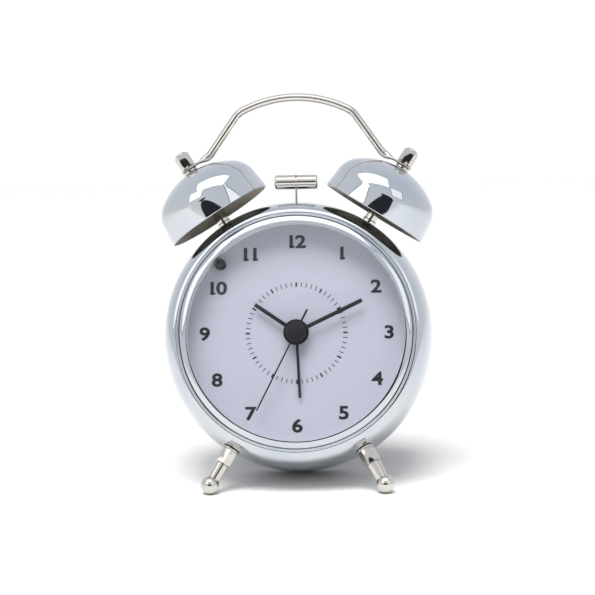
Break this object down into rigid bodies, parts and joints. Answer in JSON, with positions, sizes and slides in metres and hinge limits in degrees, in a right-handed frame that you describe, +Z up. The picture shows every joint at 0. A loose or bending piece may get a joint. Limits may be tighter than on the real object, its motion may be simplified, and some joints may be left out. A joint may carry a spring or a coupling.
{
  "type": "twin-bell alarm clock",
  "caption": "Free-standing analogue alarm clock with a round chromed case, bells under an arched wire handle, a swinging hammer and splayed ball feet.",
  "frame": {"origin": "middle of the bounding box on the table plane, under the clock", "axes": "+Z up, the dial faces -Y and leans back, +X to the three o'clock side"},
  "size_m": [0.1166, 0.0761, 0.1661],
  "materials": {
    "chromed_steel": "polished chrome plate",
    "nickel": "bright nickel plate",
    "steel": "bare steel",
    "brass": "turned brass",
    "lens": "flat clear",
    "dial_print": "matt printed silver white",
    "white_plastic": "moulded white",
    "grey_plastic": "moulded grey",
    "black_plastic": "fine spark texture",
    "hand_paint": "satin blue black paint",
    "lamp_epoxy": "clear epoxy",
    "board": "green solder resist",
    "coil_red": "moulded red",
    "copper_wire": "enamelled copper wire",
    "rotor_magnet": "bonded magnet",
    "cell_label": "plain plastic sleeve"
  },
  "bodies": {
    "case": {"case_shell": "chromed_steel", "bezel_ring": "chromed_steel", "lens": "lens", "reflector_ring": "white_plastic", "dial": "dial_print", "dial_carrier": "black_plastic", "dial_nut": "brass", "frame_pillars": "steel", "carrier_screws": "steel", "movement_case": "grey_plastic", "movement_back": "grey_plastic", "circuit_board": "board", "coil_bobbin": "coil_red", "coil_winding": "copper_wire", "stator": "steel", "dial_lamp": "lamp_epoxy", "lamp_hood": "black_plastic", "back_cover": "black_plastic", "battery": "cell_label", "battery_plates": "steel", "battery_spring": "steel", "cover_screws": "steel", "bell_left": "chromed_steel", "bell_right": "chromed_steel", "bell_post_left": "nickel", "bell_post_right": "nickel", "bell_washers": "nickel", "bell_nuts": "nickel", "stud_nuts": "steel", "handle": "nickel", "foot_left": "nickel", "foot_right": "nickel", "foot_washers": "nickel", "hammer_pivot": "steel", "striker_frame": "steel", "striker_coil": "copper_wire", "internal_leads": "coil_red"},
    "hammer": {"hammer_head": "nickel", "hammer_arm": "steel"},
    "second_hand_body": {"second_wheel": "white_plastic", "second_hand": "hand_paint", "hub_cap": "hand_paint"},
    "third_wheel_body": {"third_wheel": "white_plastic"},
    "centre_wheel_body": {"centre_wheel": "brass"},
    "rotor_idler_body": {"rotor_idler": "white_plastic"},
    "rotor_body": {"rotor": "rotor_magnet"},
    "time_setting": {"time_stem": "white_plastic", "time_knob": "black_plastic"},
    "minute_hand_body": {"cannon_pinion": "brass", "minute_hand": "hand_paint"},
    "motion_wheel_body": {"motion_wheel": "white_plastic"},
    "hour_hand_body": {"hour_wheel": "white_plastic", "hour_hand": "hand_paint"},
    "alarm_setting": {"alarm_stem": "white_plastic", "alarm_knob": "black_plastic"},
    "alarm_hand_body": {"alarm_wheel": "white_plastic", "alarm_hand": "hand_paint"},
    "door": {"battery_door": "black_plastic"},
    "switch": {"alarm_switch": "grey_plastic"},
    "button": {"light_button": "grey_plastic"}
  },
  "joints": [
    {"name": "second_spin", "type": "hinge", "parent": "case", "child": "second_hand_body", "pos_m": [0, -0.0182, 0.06508], "axis": [0, 0.9784, -0.2068], "continuous": true},
    {"name": "third_wheel_spin", "type": "hinge", "parent": "case", "child": "third_wheel_body", "pos_m": [0.01118, -0.01736, 0.06907], "axis": [0, 0.9784, -0.2068], "continuous": true},
    {"name": "centre_wheel_spin", "type": "hinge", "parent": "case", "child": "centre_wheel_body", "pos_m": [0, -0.0182, 0.06508], "axis": [0, 0.9784, -0.2068], "continuous": true},
    {"name": "rotor_idler_spin", "type": "hinge", "parent": "case", "child": "rotor_idler_body", "pos_m": [-0.01118, -0.01736, 0.06907], "axis": [0, 0.9784, -0.2068], "continuous": true},
    {"name": "rotor_spin", "type": "hinge", "parent": "case", "child": "rotor_body", "pos_m": [-0.01868, -0.01736, 0.06907], "axis": [0, 0.9784, -0.2068], "continuous": true},
    {"name": "time_set", "type": "hinge", "parent": "case", "child": "time_setting", "pos_m": [0, -0.02225, 0.04591], "axis": [0, 0.9784, -0.2068], "continuous": true},
    {"name": "minute_spin", "type": "hinge", "parent": "case", "child": "minute_hand_body", "pos_m": [0, -0.0182, 0.06508], "axis": [0, 0.9784, -0.2068], "continuous": true},
    {"name": "motion_wheel_spin", "type": "hinge", "parent": "case", "child": "motion_wheel_body", "pos_m": [0, -0.02018, 0.05569], "axis": [0, 0.9784, -0.2068], "continuous": true},
    {"name": "hour_spin", "type": "hinge", "parent": "case", "child": "hour_hand_body", "pos_m": [0, -0.0182, 0.06508], "axis": [0, 0.9784, -0.2068], "continuous": true},
    {"name": "alarm_set", "type": "hinge", "parent": "case", "child": "alarm_setting", "pos_m": [0, -0.01559, 0.07741], "axis": [0, 0.9784, -0.2068], "continuous": true},
    {"name": "alarm_spin", "type": "hinge", "parent": "case", "child": "alarm_hand_body", "pos_m": [0, -0.0182, 0.06508], "axis": [0, 0.9784, -0.2068], "continuous": true},
    {"name": "hammer_swing", "type": "hinge", "parent": "case", "child": "hammer", "pos_m": [0, 0.00035, 0.10681], "axis": [0, -0.9963, 0.086], "range_deg": [-8, 8], "stiffness_Nm_per_rad": 0.02},
    {"name": "battery_door_hinge", "type": "hinge", "parent": "case", "child": "door", "pos_m": [-0.024, 0.01881, 0.03079], "axis": [-1, 0, 0], "range_deg": [0, 95]},
    {"name": "alarm_switch_slide", "type": "slide", "parent": "case", "child": "switch", "axis": [0, 0.2068, 0.9784], "range_m": [0, 0.004]},
    {"name": "light_button_press", "type": "slide", "parent": "case", "child": "button", "axis": [0, -0.9784, 0.2068], "range_m": [0, 0.0015], "stiffness_N_per_m": 200}
  ],
  "couplings": [
    {"joint": "third_wheel_spin", "follows": "second_spin", "ratio": -0.13333},
    {"joint": "centre_wheel_spin", "follows": "second_spin", "ratio": 0.016667},
    {"joint": "rotor_idler_spin", "follows": "second_spin", "ratio": -6},
    {"joint": "rotor_spin", "follows": "second_spin", "ratio": 30},
    {"joint": "motion_wheel_spin", "follows": "time_set", "ratio": -0.38889},
    {"joint": "minute_spin", "follows": "time_set", "ratio": 1.1667},
    {"joint": "hour_spin", "follows": "time_set", "ratio": 0.097222},
    {"joint": "alarm_spin", "follows": "alarm_set", "ratio": -0.5}
  ]
}
